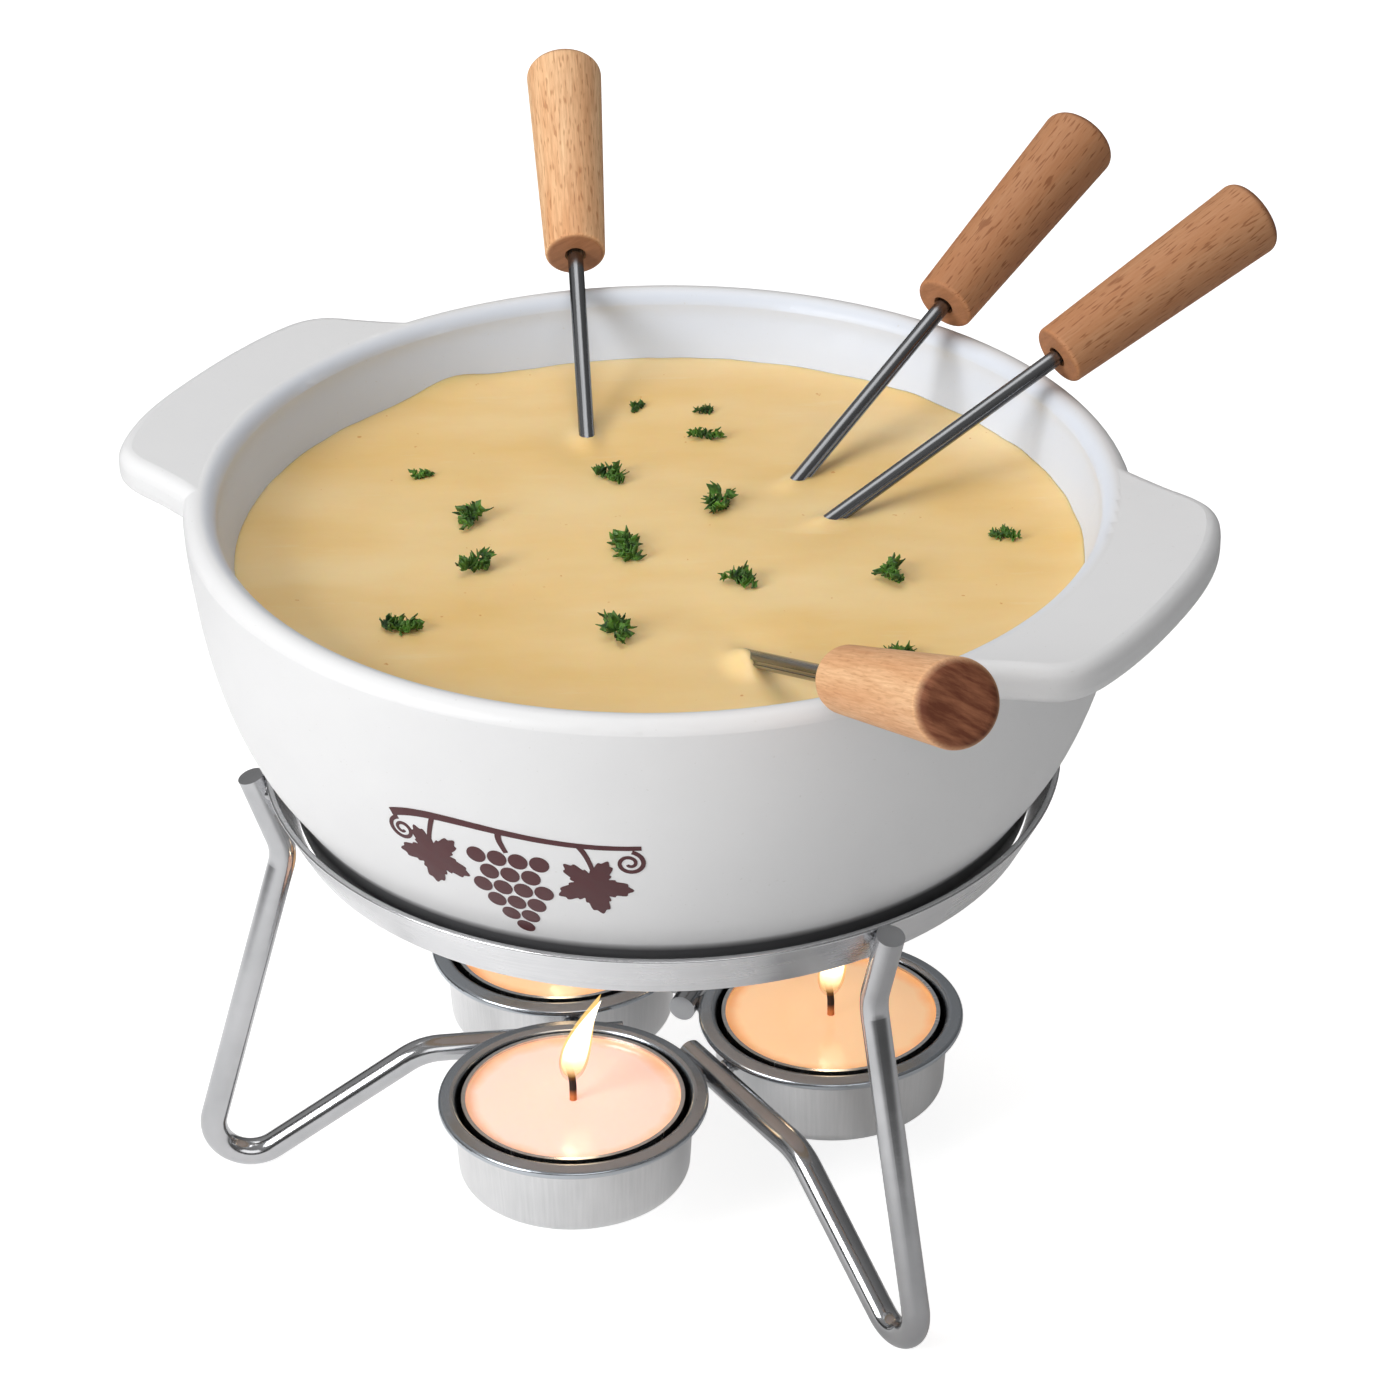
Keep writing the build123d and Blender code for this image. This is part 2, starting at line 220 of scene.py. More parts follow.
def ceramic_material():
    material, tree, shader = start_material("matt_white_glaze")
    coords = object_coords(tree)
    height = axis_parts(tree, coords)[2]
    clouds = noise_of(tree, coords, 45, 3)
    glaze = mix_colours(tree, clouds, srgb(229, 229, 230), srgb(236, 236, 236))
    # painted shade: the inner wall over the sauce is tinted a little cooler and darker
    inside = spread(tree, around(tree, (0, 0, 0))[1], 1, 0, *INNER_WALL)
    over_sauce = spread(tree, height, 0, 1, cheese_top - 3 * MM, cheese_top - MM)
    glaze = mix_colours(tree, math_of(tree, "MULTIPLY", inside, over_sauce), glaze, srgb(219, 227, 240))
    specks = spread(tree, noise_of(tree, coords, 1700, 1), 0, 0.35, 0.74, 0.8)
    glaze = mix_colours(tree, specks, glaze, srgb(205, 203, 198))
    # painted shade: a dark grey band round the bowl at the ring's top edge, standing in for the shadow in the
    # gap between bowl and ring
    ring_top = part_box("support_ring")[1].z
    under_top = spread(tree, height, 1, 0, ring_top - 0.3 * MM, ring_top + 1.7 * MM)
    over_end = spread(tree, height, 0, 1, ring_top - 5 * MM, ring_top - 3 * MM)
    glaze = mix_colours(tree, math_of(tree, "MULTIPLY", under_top, over_end), glaze, srgb(88, 88, 90))
    # bare clay under the foot
    foot_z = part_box("bowl")[0].z
    bare = spread(tree, height, 1, 0, foot_z + 0.5 * MM, foot_z + 0.9 * MM)
    plug(tree, mix_colours(tree, bare, glaze, srgb(214, 204, 186)), shader, "Base Color")
    worn = spread(tree, noise_of(tree, coords, 160, 5), 0.36, 0.5)
    plug(tree, math_of(tree, "ADD", worn, spread(tree, bare, 0, 0.4)), shader, "Roughness")
    peel = bump_of(tree, noise_of(tree, coords, 420, 2), 0.25, 0.1 * MM)
    waves = bump_of(tree, noise_of(tree, coords, 32, 1), 0.16, 0.8 * MM, peel)
    plug(tree, waves, shader, "Normal")
    shader.inputs["Specular IOR Level"].default_value = 0.4
    shader.inputs["Coat Weight"].default_value = 0.12
    shader.inputs["Coat Roughness"].default_value = 0.3
    return material


def cheese_material():
    material, tree, shader = start_material("melted_cheese")
    coords = object_coords(tree)
    drawn = stretched(tree, coords, (1, 2.4, 1))
    clouds = noise_of(tree, drawn, 28, 4, 0.5)
    body = mix_colours(tree, spread(tree, clouds, 0, 1, 0.3, 0.7), srgb(241, 201, 128), srgb(250, 218, 160))
    streaks = spread(tree, noise_of(tree, stretched(tree, coords, (1, 5, 1)), 60, 6, 0.62), 0, 0.5, 0.6, 0.78)
    body = mix_colours(tree, streaks, body, srgb(249, 224, 174))
    grains = spread(tree, noise_of(tree, coords, 520, 2), 0, 0.7, 0.735, 0.77)
    body = mix_colours(tree, grains, body, srgb(214, 138, 52))
    plug(tree, body, shader, "Base Color")
    plug(tree, spread(tree, noise_of(tree, coords, 90, 4), 0.26, 0.4), shader, "Roughness")
    skin = bump_of(tree, noise_of(tree, coords, 700, 3), 0.14, 0.1 * MM)
    soft = bump_of(tree, noise_of(tree, coords, 110, 3), 0.22, 0.35 * MM, skin)
    plug(tree, soft, shader, "Normal")
    shader.inputs["Subsurface Weight"].default_value = 0.35
    shader.inputs["Subsurface Radius"].default_value = (1.0, 0.6, 0.25)
    shader.inputs["Subsurface Scale"].default_value = 1.6 * MM
    shader.inputs["Specular IOR Level"].default_value = 0.45
    return material


def parsley_material():
    material, tree, shader = start_material("parsley_leaf")
    coords = object_coords(tree)
    clouds = noise_of(tree, coords, 420, 4)
    leaf = mix_colours(tree, spread(tree, clouds, 0, 1, 0.35, 0.68), srgb(26, 58, 16), srgb(98, 146, 48))
    plug(tree, leaf, shader, "Base Color")
    plug(tree, spread(tree, noise_of(tree, coords, 900, 2), 0.4, 0.7), shader, "Roughness")
    veins = node(tree, "ShaderNodeTexVoronoi", {"Vector": coords, "Scale": 1900.0}).outputs["Distance"]
    plug(tree, bump_of(tree, veins, 0.5, 0.15 * MM), shader, "Normal")
    shader.inputs["Subsurface Weight"].default_value = 0.2
    shader.inputs["Subsurface Radius"].default_value = (0.3, 1.0, 0.1)
    shader.inputs["Subsurface Scale"].default_value = 0.3 * MM
    return material


def plated_wire_material():
    material, tree, shader = start_material("bright_plated_wire")
    coords = object_coords(tree)
    tone = noise_of(tree, coords, 120, 4)
    plug(tree, mix_colours(tree, tone, srgb(158, 159, 161), srgb(192, 192, 194)), shader, "Base Color")
    plug(tree, spread(tree, noise_of(tree, coords, 300, 5), 0.1, 0.2), shader, "Roughness")
    pits = bump_of(tree, noise_of(tree, coords, 2600, 2), 0.05, 0.05 * MM)
    waves = bump_of(tree, noise_of(tree, coords, 150, 2), 0.2, 0.12 * MM, pits)
    plug(tree, waves, shader, "Normal")
    shader.inputs["Metallic"].default_value = 1.0
    return material


def brushed_round_material(name, centre, tones, roughness, lines, strength, lip=None):
    # sheet metal with fine lines: lines = how fast the noise runs with angle, distance and height,
    # lip = the height over which the metal takes another tone, and that tone
    material, tree, shader = start_material(name)
    angle, distance, height = around(tree, centre)
    parts = [math_of(tree, "MULTIPLY", part, rate) for part, rate in zip((angle, distance, height), lines)]
    scratches = noise_of(tree, joined(tree, *parts), 1.0, 3, 0.6)
    clouds = noise_of(tree, object_coords(tree), 90, 3)
    half_scratches = math_of(tree, "MULTIPLY", scratches, 0.5)
    tone = math_of(tree, "ADD", half_scratches, math_of(tree, "MULTIPLY", clouds, 0.5))
    colour = mix_colours(tree, spread(tree, tone, 0, 1, 0.3, 0.7), *tones)
    if lip is not None:
        lip_height, lip_tone = lip
        on_lip = spread(tree, height, 0, 1, lip_height - 0.2 * MM, lip_height + 0.2 * MM)
        colour = mix_colours(tree, on_lip, colour, lip_tone)
    plug(tree, colour, shader, "Base Color")
    plug(tree, spread(tree, tone, *roughness, 0.3, 0.7), shader, "Roughness")
    plug(tree, bump_of(tree, scratches, strength, 0.05 * MM), shader, "Normal")
    shader.inputs["Metallic"].default_value = 1.0
    shader.inputs["Anisotropic"].default_value = 0.3
    return material


def wax_material(index):
    colours = {1: (srgb(252, 190, 150), srgb(252, 212, 196)), 2: (srgb(248, 176, 114), srgb(250, 204, 158))}
    edge, middle = colours.get(index, colours[2])
    material, tree, shader = start_material(f"molten_wax_{index}")
    centre = spot_of(f"wax_{index}")
    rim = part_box(f"wax_{index}")[1].x - centre.x
    distance = around(tree, centre)[1]
    clouds = noise_of(tree, object_coords(tree), 170, 3)
    reach = math_of(tree, "ADD", distance, spread(tree, clouds, -1.6 * MM, 1.6 * MM))
    warm = spread(tree, reach, 0, 1, rim, rim * 0.86)
    colour = mix_colours(tree, warm, edge, middle)
    plug(tree, colour, shader, "Base Color")
    # painted light: the wax glows with its own colour, a little less towards its rim, so it stays bright in
    # the shade under the bowl
    plug(tree, colour, shader, "Emission Color")
    plug(tree, spread(tree, distance, 0.5, 0.46, 0, rim), shader, "Emission Strength")
    plug(tree, spread(tree, clouds, 0.12, 0.3), shader, "Roughness")
    plug(tree, bump_of(tree, clouds, 0.2, 0.25 * MM), shader, "Normal")
    shader.inputs["Subsurface Weight"].default_value = 0.5
    shader.inputs["Subsurface Radius"].default_value = (1.0, 0.5, 0.3)
    shader.inputs["Subsurface Scale"].default_value = 3 * MM
    shader.inputs["Coat Weight"].default_value = 0.35
    shader.inputs["Coat Roughness"].default_value = 0.06
    return material


def wick_material(index):
    material, tree, shader = start_material(f"burnt_wick_{index}")
    coords = object_coords(tree)
    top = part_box(f"wick_{index}")[1].z
    height = axis_parts(tree, coords)[2]
    fibres = noise_of(tree, stretched(tree, coords, (1, 1, 0.5)), 2400, 3)
    char = mix_colours(tree, fibres, srgb(16, 11, 9), srgb(58, 38, 28))
    waxy = spread(tree, height, 1, 0, top - 6.6 * MM, top - 5.2 * MM)
    plug(tree, mix_colours(tree, waxy, char, srgb(206, 122, 66)), shader, "Base Color")
    plug(tree, mix_colours(tree, fibres, srgb(255, 92, 14), srgb(255, 150, 50)), shader, "Emission Color")
    plug(tree, spread(tree, height, 0, 1.6, top - 2.0 * MM, top - 0.2 * MM), shader, "Emission Strength")
    plug(tree, spread(tree, fibres, 0.7, 0.95), shader, "Roughness")
    plug(tree, bump_of(tree, fibres, 0.8, 0.2 * MM), shader, "Normal")
    return material


def along_fork(tree, index):
    # coordinates with Z along the fork and the origin in the middle of the handle
    axis = joint_axis(f"fork_{index}_pull")
    turn = axis.to_track_quat("Z", "Y").to_euler()
    inputs = {"Vector": object_coords(tree), "Location": spot_of(f"fork_{index}_handle"), "Rotation": turn}
    return node(tree, "ShaderNodeMapping", inputs, vector_type="TEXTURE").outputs[0]


# how far each handle's wood is darkened towards a deeper brown, painted shade that is strongest on forks 2
# and 3, how strong its flecks are, and how the end grain lies
WOOD_PAINTED_SHADE = {1: 0.0, 2: 0.8, 3: 0.76, 4: 0.2}
WOOD_FLECKS = {1: 0.5, 2: 0.6, 3: 0.6, 4: 0.2}
END_GRAIN_TURN = math.radians(35)


def beech_material(index):
    material, tree, shader = start_material(f"oiled_beech_{index}")
    coords = along_fork(tree, index)
    grown = noise_of(tree, stretched(tree, coords, (260, 260, 22)), 1.0, 3, 0.5)
    fibres = noise_of(tree, stretched(tree, coords, (2600, 2600, 150)), 1.0, 3, 0.6)
    dashes = noise_of(tree, stretched(tree, coords, (3000, 3000, 400)), 1.0, 0, 0.5)
    wood = mix_colours(tree, spread(tree, grown, 0, 1, 0.32, 0.68), srgb(232, 175, 126), srgb(255, 214, 167))
    wood = mix_colours(tree, spread(tree, fibres, 0, 0.55, 0.35, 0.75), wood, srgb(186, 120, 74))
    # painted shade: each handle's wood and flecks are darkened by its share, for the handles that lie in
    # shadow
    wood = mix_colours(tree, WOOD_PAINTED_SHADE[index], wood, srgb(170, 112, 74))
    flecks = spread(tree, dashes, 0, WOOD_FLECKS[index], 0.62, 0.74)
    fleck_tone = mix_colours(tree, WOOD_PAINTED_SHADE[index], srgb(170, 98, 52), srgb(112, 60, 32))
    wood = mix_colours(tree, flecks, wood, fleck_tone)
    # end grain: dark and banded at the outer end, paler at the shaft's end
    tilt = {"Vector": coords, "Rotation": (0, 0, END_GRAIN_TURN)}
    tilted = node(tree, "ShaderNodeMapping", tilt).outputs[0]
    rings = noise_of(tree, stretched(tree, tilted, (110, 640, 0)), 1.0, 4, 0.62)
    end_wood = mix_colours(tree, spread(tree, rings, 0, 1, 0.4, 0.66), srgb(104, 54, 32), srgb(154, 98, 68))
    normal = node(tree, "ShaderNodeNewGeometry").outputs["Normal"]
    axis = joint_axis(f"fork_{index}_pull")
    dot = node(tree, "ShaderNodeVectorMath", {0: normal, 1: axis}, operation="DOT_PRODUCT")
    facing = dot.outputs["Value"]
    pale_end = mix_colours(tree, 0.35, end_wood, srgb(218, 164, 122))
    wood = mix_colours(tree, spread(tree, facing, 0, 1, -0.6, -0.95), wood, pale_end)
    wood = mix_colours(tree, spread(tree, facing, 0, 1, 0.2, 0.85), wood, end_wood)
    plug(tree, wood, shader, "Base Color")
    plug(tree, spread(tree, fibres, 0.5, 0.72), shader, "Roughness")
    grain = bump_of(tree, fibres, 0.45, 0.1 * MM)
    plug(tree, bump_of(tree, math_of(tree, "SUBTRACT", 1.0, flecks), 0.2, 0.1 * MM, grain), shader, "Normal")
    shader.inputs["Specular IOR Level"].default_value = 0.3
    return material


def fork_steel_material(index):
    material, tree, shader = start_material(f"satin_fork_steel_{index}")
    coords = along_fork(tree, index)
    drawn = noise_of(tree, stretched(tree, coords, (3600, 3600, 60)), 1.0, 3, 0.6)
    plug(tree, mix_colours(tree, drawn, srgb(100, 101, 103), srgb(148, 149, 151)), shader, "Base Color")
    plug(tree, spread(tree, drawn, 0.14, 0.3), shader, "Roughness")
    plug(tree, bump_of(tree, drawn, 0.12, 0.05 * MM), shader, "Normal")
    shader.inputs["Metallic"].default_value = 1.0
    return material


def print_material():
    material, tree, shader = start_material("maroon_print")
    coords = object_coords(tree)
    ink = noise_of(tree, coords, 500, 4)
    plug(tree, mix_colours(tree, ink, srgb(66, 14, 20), srgb(78, 22, 28)), shader, "Base Color")
    plug(tree, spread(tree, ink, 0.42, 0.58), shader, "Roughness")
    plug(tree, bump_of(tree, ink, 0.1, 0.03 * MM), shader, "Normal")
    return material


def flame_material(name, low, high, strength, veil):
    # see-through at the wick, then low colour, then high colour
    material, tree, shader = start_material(name)
    height = axis_parts(tree, node(tree, "ShaderNodeTexCoord").outputs["Generated"])[2]
    licks = noise_of(tree, object_coords(tree), 260, 2)
    level = math_of(tree, "ADD", height, spread(tree, licks, -0.08, 0.08))
    colour = mix_colours(tree, spread(tree, level, 0, 1, 0.05, 0.45), low, high)
    plug(tree, colour, shader, "Emission Color")
    plug(tree, spread(tree, level, 0.2 * strength, strength, 0.0, 0.35), shader, "Emission Strength")
    plug(tree, spread(tree, level, 0.05, veil, 0.0, 0.3), shader, "Alpha")
    shader.inputs["Base Color"].default_value = (0, 0, 0, 1)
    shader.inputs["Roughness"].default_value = 1.0
    shader.inputs["Specular IOR Level"].default_value = 0.0
    return material


# how far the rolled lip of a candle holder reaches down
LIP_DEPTH = 2.4 * MM


def dress_cad():
    dress("bowl", ceramic_material())
    wire = plated_wire_material()
    ring_tones = (srgb(204, 205, 207), srgb(220, 220, 222))
    ring = brushed_round_material("satin_ring", (0, 0, 0), ring_tones, (0.22, 0.3), (3, 500, 1500), 0.03)
    dress("support_ring", ring)
    for index in TEALIGHTS:
        dress(f"leg_{index}", wire)
        spot = spot_of(f"candle_holder_{index}")
        holder_tones = (srgb(196, 197, 198), srgb(214, 214, 215))
        holder_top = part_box(f"candle_holder_{index}")[1].z
        holder_lip = (holder_top - spot.z - LIP_DEPTH, srgb(178, 183, 189))
        holder = brushed_round_material(
            f"brushed_holder_{index}", spot, holder_tones, (0.17, 0.28), (36, 700, 60), 0.04, holder_lip
        )
        dress(f"candle_holder_{index}", holder)
        cup_tones = (srgb(198, 199, 200), srgb(220, 220, 222))
        cup = brushed_round_material(
            f"tealight_foil_{index}", spot, cup_tones, (0.16, 0.3), (40, 200, 200), 0.1
        )
        dress(f"tealight_cup_{index}", cup)
        dress(f"wick_tab_{index}", cup)
        dress(f"wax_{index}", wax_material(index))
        dress(f"wick_{index}", wick_material(index))
    for index in FORKS:
        dress(f"fork_{index}_prongs", fork_steel_material(index))
        dress(f"fork_{index}_handle", beech_material(index))


# ------------------------------------------------------------------------------- meshes
def piece_from(name, points, faces, material, smooth=True):
    mesh = bpy.data.meshes.new(name)
    mesh.from_pydata(points, [], faces)
    mesh.validate()
    mesh.update()
    mesh.polygons.foreach_set("use_smooth", [smooth] * len(mesh.polygons))
    mesh.materials.append(material)
    piece = bpy.data.objects.new(name, mesh)
    bpy.context.scene.collection.objects.link(piece)
    return piece


def stacked_rings(rings, low_cap, high_cap):
    # points and faces of a closed skin through rings of equal length, capped with one point each
    count = len(rings[0])
    points = [low_cap] + [point for ring in rings for point in ring] + [high_cap]
    faces = []
    for step in range(count):
        after = (step + 1) % count
        faces.append((0, 1 + after, 1 + step))
        for level in range(len(rings) - 1):
            base = 1 + level * count
            faces.append((base + step, base + after, base + count + after, base + count + step))
        last = 1 + (len(rings) - 1) * count
        faces.append((last + step, last + after, len(points) - 1))
    return points, faces


# cheese: its mesh, its soft swell and ripples, and how it meets the bowl's wall
CHEESE_TURNS = 300
CHEESE_RINGS = 86
CHEESE_WALL_LEVELS = 12
CHEESE_BASE_GAP = 0.3 * MM
CHEESE_WALL_TOP_GAP = 1.5 * MM
CHEESE_WALL_GAP = 0.1 * MM
CHEESE_EDGE_BITE = 0.05 * MM
SWELL = 0.55 * MM
SWELL_RATE = 26
RIPPLE = 0.16 * MM
RIPPLE_RATE = 95
CHEESE_EDGE_RISE = 0.15 * MM
CHEESE_EDGE_WAVE = 0.6 * MM
CHEESE_EDGE_WIDTH = 1.5 * MM
SMEAR_ANGLE = math.radians(121)
SMEAR_SPREAD = math.radians(6)
SMEAR_RISE = 1.4 * MM
fork_entries = [fork_entry(index) for index in FORKS]
fork_ways = [joint_axis(f"fork_{index}_pull") for index in FORKS]


def edge_height(angle):
    ring = Vector((math.cos(angle), math.sin(angle), 0))
    wave = CHEESE_EDGE_WAVE * (0.6 * noise.noise(ring * 3.1) + 0.4 * noise.noise(ring * 11))
    away = (angle - SMEAR_ANGLE) / SMEAR_SPREAD
    return cheese_top + CHEESE_EDGE_RISE + wave + SMEAR_RISE * math.exp(-away * away)


# how high the sauce climbs each shaft, fork 1 first, and where its top lies along and across the shaft, in mm
SAUCE_PULLS = ((1.3, -1.0, 0.0), (1.2, -1.2, 0.0), (1.2, -1.4, 0.0), (2.9, 1.2, -1.4))
# how far the raised spot and the hollow round it reach along and across the shaft
SAUCE_CREST = (4.2 * MM, 2.3 * MM)
SAUCE_HOLLOW = (9.5 * MM, 6 * MM)
SAUCE_HOLLOW_DEPTH = 0.6 * MM


def dome(along, across, reach):
    # 1 in the middle, falling away over that reach each way
    return math.exp(-(along / reach[0]) ** 2 - (across / reach[1]) ** 2)


def fork_lift(x, y):
    # the sauce is pulled up a little round each shaft, inside a shallow hollow
    lift = 0.0
    for entry, way, pull in zip(fork_entries, fork_ways, SAUCE_PULLS):
        pull_up, pull_along, pull_across = [value * MM for value in pull]
        flat = Vector((way.x, way.y)).normalized()
        off = Vector((x - entry.x, y - entry.y))
        along = off.dot(flat)
        across = off.dot(Vector((-flat.y, flat.x)))
        lift += pull_up * dome(along - pull_along, across - pull_across, SAUCE_CREST)
        lift -= SAUCE_HOLLOW_DEPTH * dome(along, across, SAUCE_HOLLOW)
    return lift


def surface_height(x, y):
    place = Vector((x, y, 0))
    swell = SWELL * noise.noise(place * SWELL_RATE) + RIPPLE * noise.noise(place * RIPPLE_RATE)
    return cheese_top + swell + fork_lift(x, y)


def cheese_rings():
    angles = [2 * math.pi * step / CHEESE_TURNS for step in range(CHEESE_TURNS)]
    rings = []
    wall_height = cheese_top - cheese_floor - CHEESE_WALL_TOP_GAP
    for level in range(CHEESE_WALL_LEVELS):
        height = cheese_floor + CHEESE_BASE_GAP + wall_height * level / (CHEESE_WALL_LEVELS - 1)
        radii = [inner_wall(angle, height) - CHEESE_WALL_GAP for angle in angles]
        rings.append([(r * math.cos(a), r * math.sin(a), height) for r, a in zip(radii, angles)])
    heights = [edge_height(angle) for angle in angles]
    edges = [(inner_wall(angle, rim) + CHEESE_EDGE_BITE, rim) for angle, rim in zip(angles, heights)]
    for level in range(CHEESE_RINGS):
        share = 1 - (level / CHEESE_RINGS) ** 1.15
        ring = []
        for angle, (reach, rim) in zip(angles, edges):
            x, y = reach * share * math.cos(angle), reach * share * math.sin(angle)
            inside = surface_height(x, y)
            climb = math.exp(-reach * (1 - share) / CHEESE_EDGE_WIDTH)
            ring.append((x, y, inside + (rim - inside) * climb))
        rings.append(ring)
    return rings


def make_cheese():
    low = (0, 0, cheese_floor + CHEESE_BASE_GAP)
    points, faces = stacked_rings(cheese_rings(), low, (0, 0, surface_height(0, 0)))
    cheese = piece_from("cheese_sauce", points, faces, cheese_material())
    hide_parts("cheese_fondue")
    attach(cheese, "bowl_body")


# parsley: (x, y, size) of each sprig on the cheese, in mm, and what each sprig is made of
SPRIGS = (
    (-40, 26, 3.4), (-4, 50, 2.8), (8, 48, 2.6), (8, 39, 5.0), (-8, 25, 5.6),
    (10, 14, 6.6), (-31, 9, 5.8), (-30, -7, 6.0), (-5, -2, 6.6), (13, -13, 5.2),
    (38, -12, 6.4), (57, 2, 4.4), (-42, -27, 6.0), (-7, -30, 6.4), (38, -37, 4.6),
)
LEAFLETS = 6
LEAF_FAN = 30
LEAF_DEPTH = 7
LEAF_THICKNESS = 0.16 * MM
LEAF_SINK = 0.3 * MM
# noise_vector takes its offsets from the clock unless it has a seed
LEAF_SEED = 1


def leaflet(draw, size, start, heading, tilt):
    # one toothed, ruffled fan, from its stalk at start
    turn = Matrix.Rotation(heading, 3, "Z") @ Matrix.Rotation(-tilt, 3, "Y")
    width = draw.uniform(0.9, 1.5)
    ruffle = draw.uniform(0.2, 0.36)
    waves = draw.uniform(3.2, 5.0)
    seed = Vector((draw.uniform(0, 50), draw.uniform(0, 50), draw.uniform(0, 50)))
    points = []
    for step in range(LEAF_FAN + 1):
        side = -1 + 2 * step / LEAF_FAN
        tooth = 0.78 + 0.22 * (1 if step % 3 == 0 else -0.4)
        lobe = 0.62 + 0.38 * abs(math.cos(side * 4.4))
        reach = size * lobe * tooth * (1 - 0.35 * side * side)
        for depth in range(LEAF_DEPTH + 1):
            share = 0.06 + 0.94 * depth / LEAF_DEPTH
            angle = side * width
            x = reach * share * math.cos(angle)
            y = reach * share * math.sin(angle)
            lift = size * ruffle * share * share * math.sin(waves * side * math.pi + seed.x)
            crumple = noise.noise_vector(Vector((x, y, lift)) / size * 2.4 + seed) * size * 0.2 * share
            points.append(start + turn @ (Vector((x, y, lift)) + crumple))
    faces = []
    for step in range(LEAF_FAN):
        for depth in range(LEAF_DEPTH):
            base = step * (LEAF_DEPTH + 1) + depth
            faces.append((base, base + LEAF_DEPTH + 1, base + LEAF_DEPTH + 2, base + 1))
    return points, faces


def make_sprig(index, x, y, size, material):
    draw = random.Random(100 + index)
    points, faces = [], []
    ground = Vector((x, y, surface_height(x, y)))
    spine = draw.uniform(0, 2 * math.pi)
    for leaf in range(LEAFLETS):
        share = leaf / (LEAFLETS - 1) - 0.5
        start = ground + Vector((math.cos(spine), math.sin(spine), 0)) * size * 0.75 * share
        start.z += size * draw.uniform(0.08, 0.2)
        heading = spine + draw.choice((-1, 1)) * draw.uniform(0.5, 1.9)
        reach, tilt = size * draw.uniform(0.38, 0.6), draw.uniform(0.3, 1.1)
        more, more_faces = leaflet(draw, reach, start, heading, tilt)
        faces += [tuple(len(points) + corner for corner in face) for face in more_faces]
        points += more
    lowest = min(point.z for point in points)
    points = [point + Vector((0, 0, ground.z - LEAF_SINK - lowest)) for point in points]
    sprig = piece_from(f"parsley_{index}", points, faces, material)
    thick = sprig.modifiers.new("thickness", "SOLIDIFY")
    thick.thickness = LEAF_THICKNESS
    thick.offset = 0
    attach(sprig, "bowl_body")


def make_parsley():
    noise.seed_set(LEAF_SEED)
    material = parsley_material()
    for index, (x, y, size) in enumerate(SPRIGS):
        make_sprig(index + 1, x * MM, y * MM, size * MM, material)


# printed sprig of vine on the bowl's front: outlines in millimetres, u to the right, v up
PRINT_ANGLE = math.radians(-108.5)
PRINT_HEIGHT = 96.5 * MM
PRINT_RADIUS = 74 * MM
PRINT_PROUD = 0.05 * MM
PRINT_THICKNESS = 0.09 * MM
# edges longer than this, in millimetres, are cut so that the print bends with the bowl
PRINT_LONGEST_EDGE = 1.1
PRINT_CUTS = 4
GRAPE_RADIUS = 1.62
GRAPE_STEP = 3.478
GRAPE_MIDDLE = -0.9
# grapes in each row, and how high the row lies
GRAPE_ROWS = ((4, 3.6), (3, 0.3), (4, -3.0), (3, -6.3), (2, -9.6), (1, -12.9))


def disc(u, v, radius, steps=22):
    turns = [2 * math.pi * step / steps for step in range(steps)]
    return [(u + radius * math.cos(turn), v + radius * math.sin(turn)) for turn in turns]


def stroke(points, start_width, end_width):
    # a tapered band along a smooth run of points
    left, right = [], []
    for index, (u, v) in enumerate(points):
        before, after = points[max(index - 1, 0)], points[min(index + 1, len(points) - 1)]
        way = Vector((after[0] - before[0], after[1] - before[1])).normalized()
        half = (start_width + (end_width - start_width) * index / (len(points) - 1)) / 2
        left.append((u - way.y * half, v + way.x * half))
        right.append((u + way.y * half, v - way.x * half))
    return left + right[::-1]


def curve(start, control_a, control_b, end, steps=26):
    points = []
    for step in range(steps + 1):
        t = step / steps
        weights = ((1 - t) ** 3, 3 * t * (1 - t) ** 2, 3 * t * t * (1 - t), t ** 3)
        parts = (start, control_a, control_b, end)
        points.append(tuple(sum(w * p[axis] for w, p in zip(weights, parts)) for axis in (0, 1)))
    return points


def coil(u, v, radius, turns, start, steps=44):
    points = []
    for step in range(steps + 1):
        share = step / steps
        angle = start + turns * 2 * math.pi * share
        reach = radius * (1 - 0.8 * share)
        points.append((u + reach * math.cos(angle), v + reach * math.sin(angle)))
    return points


def vine_leaf(u, v, heading, size, steps=150):
    # five toothed lobes round the middle, with a notch where the stalk meets them
    outline = []
    for step in range(steps):
        turn = 2 * math.pi * step / steps - math.pi
        lobes = 0.79 + 0.21 * math.cos(5 * turn) - 0.07 * (1 - math.cos(turn))
        reach = size * (lobes + 0.045 * math.cos(25 * turn))
        outline.append((u + reach * math.cos(heading + turn), v + reach * math.sin(heading + turn)))
    return outline


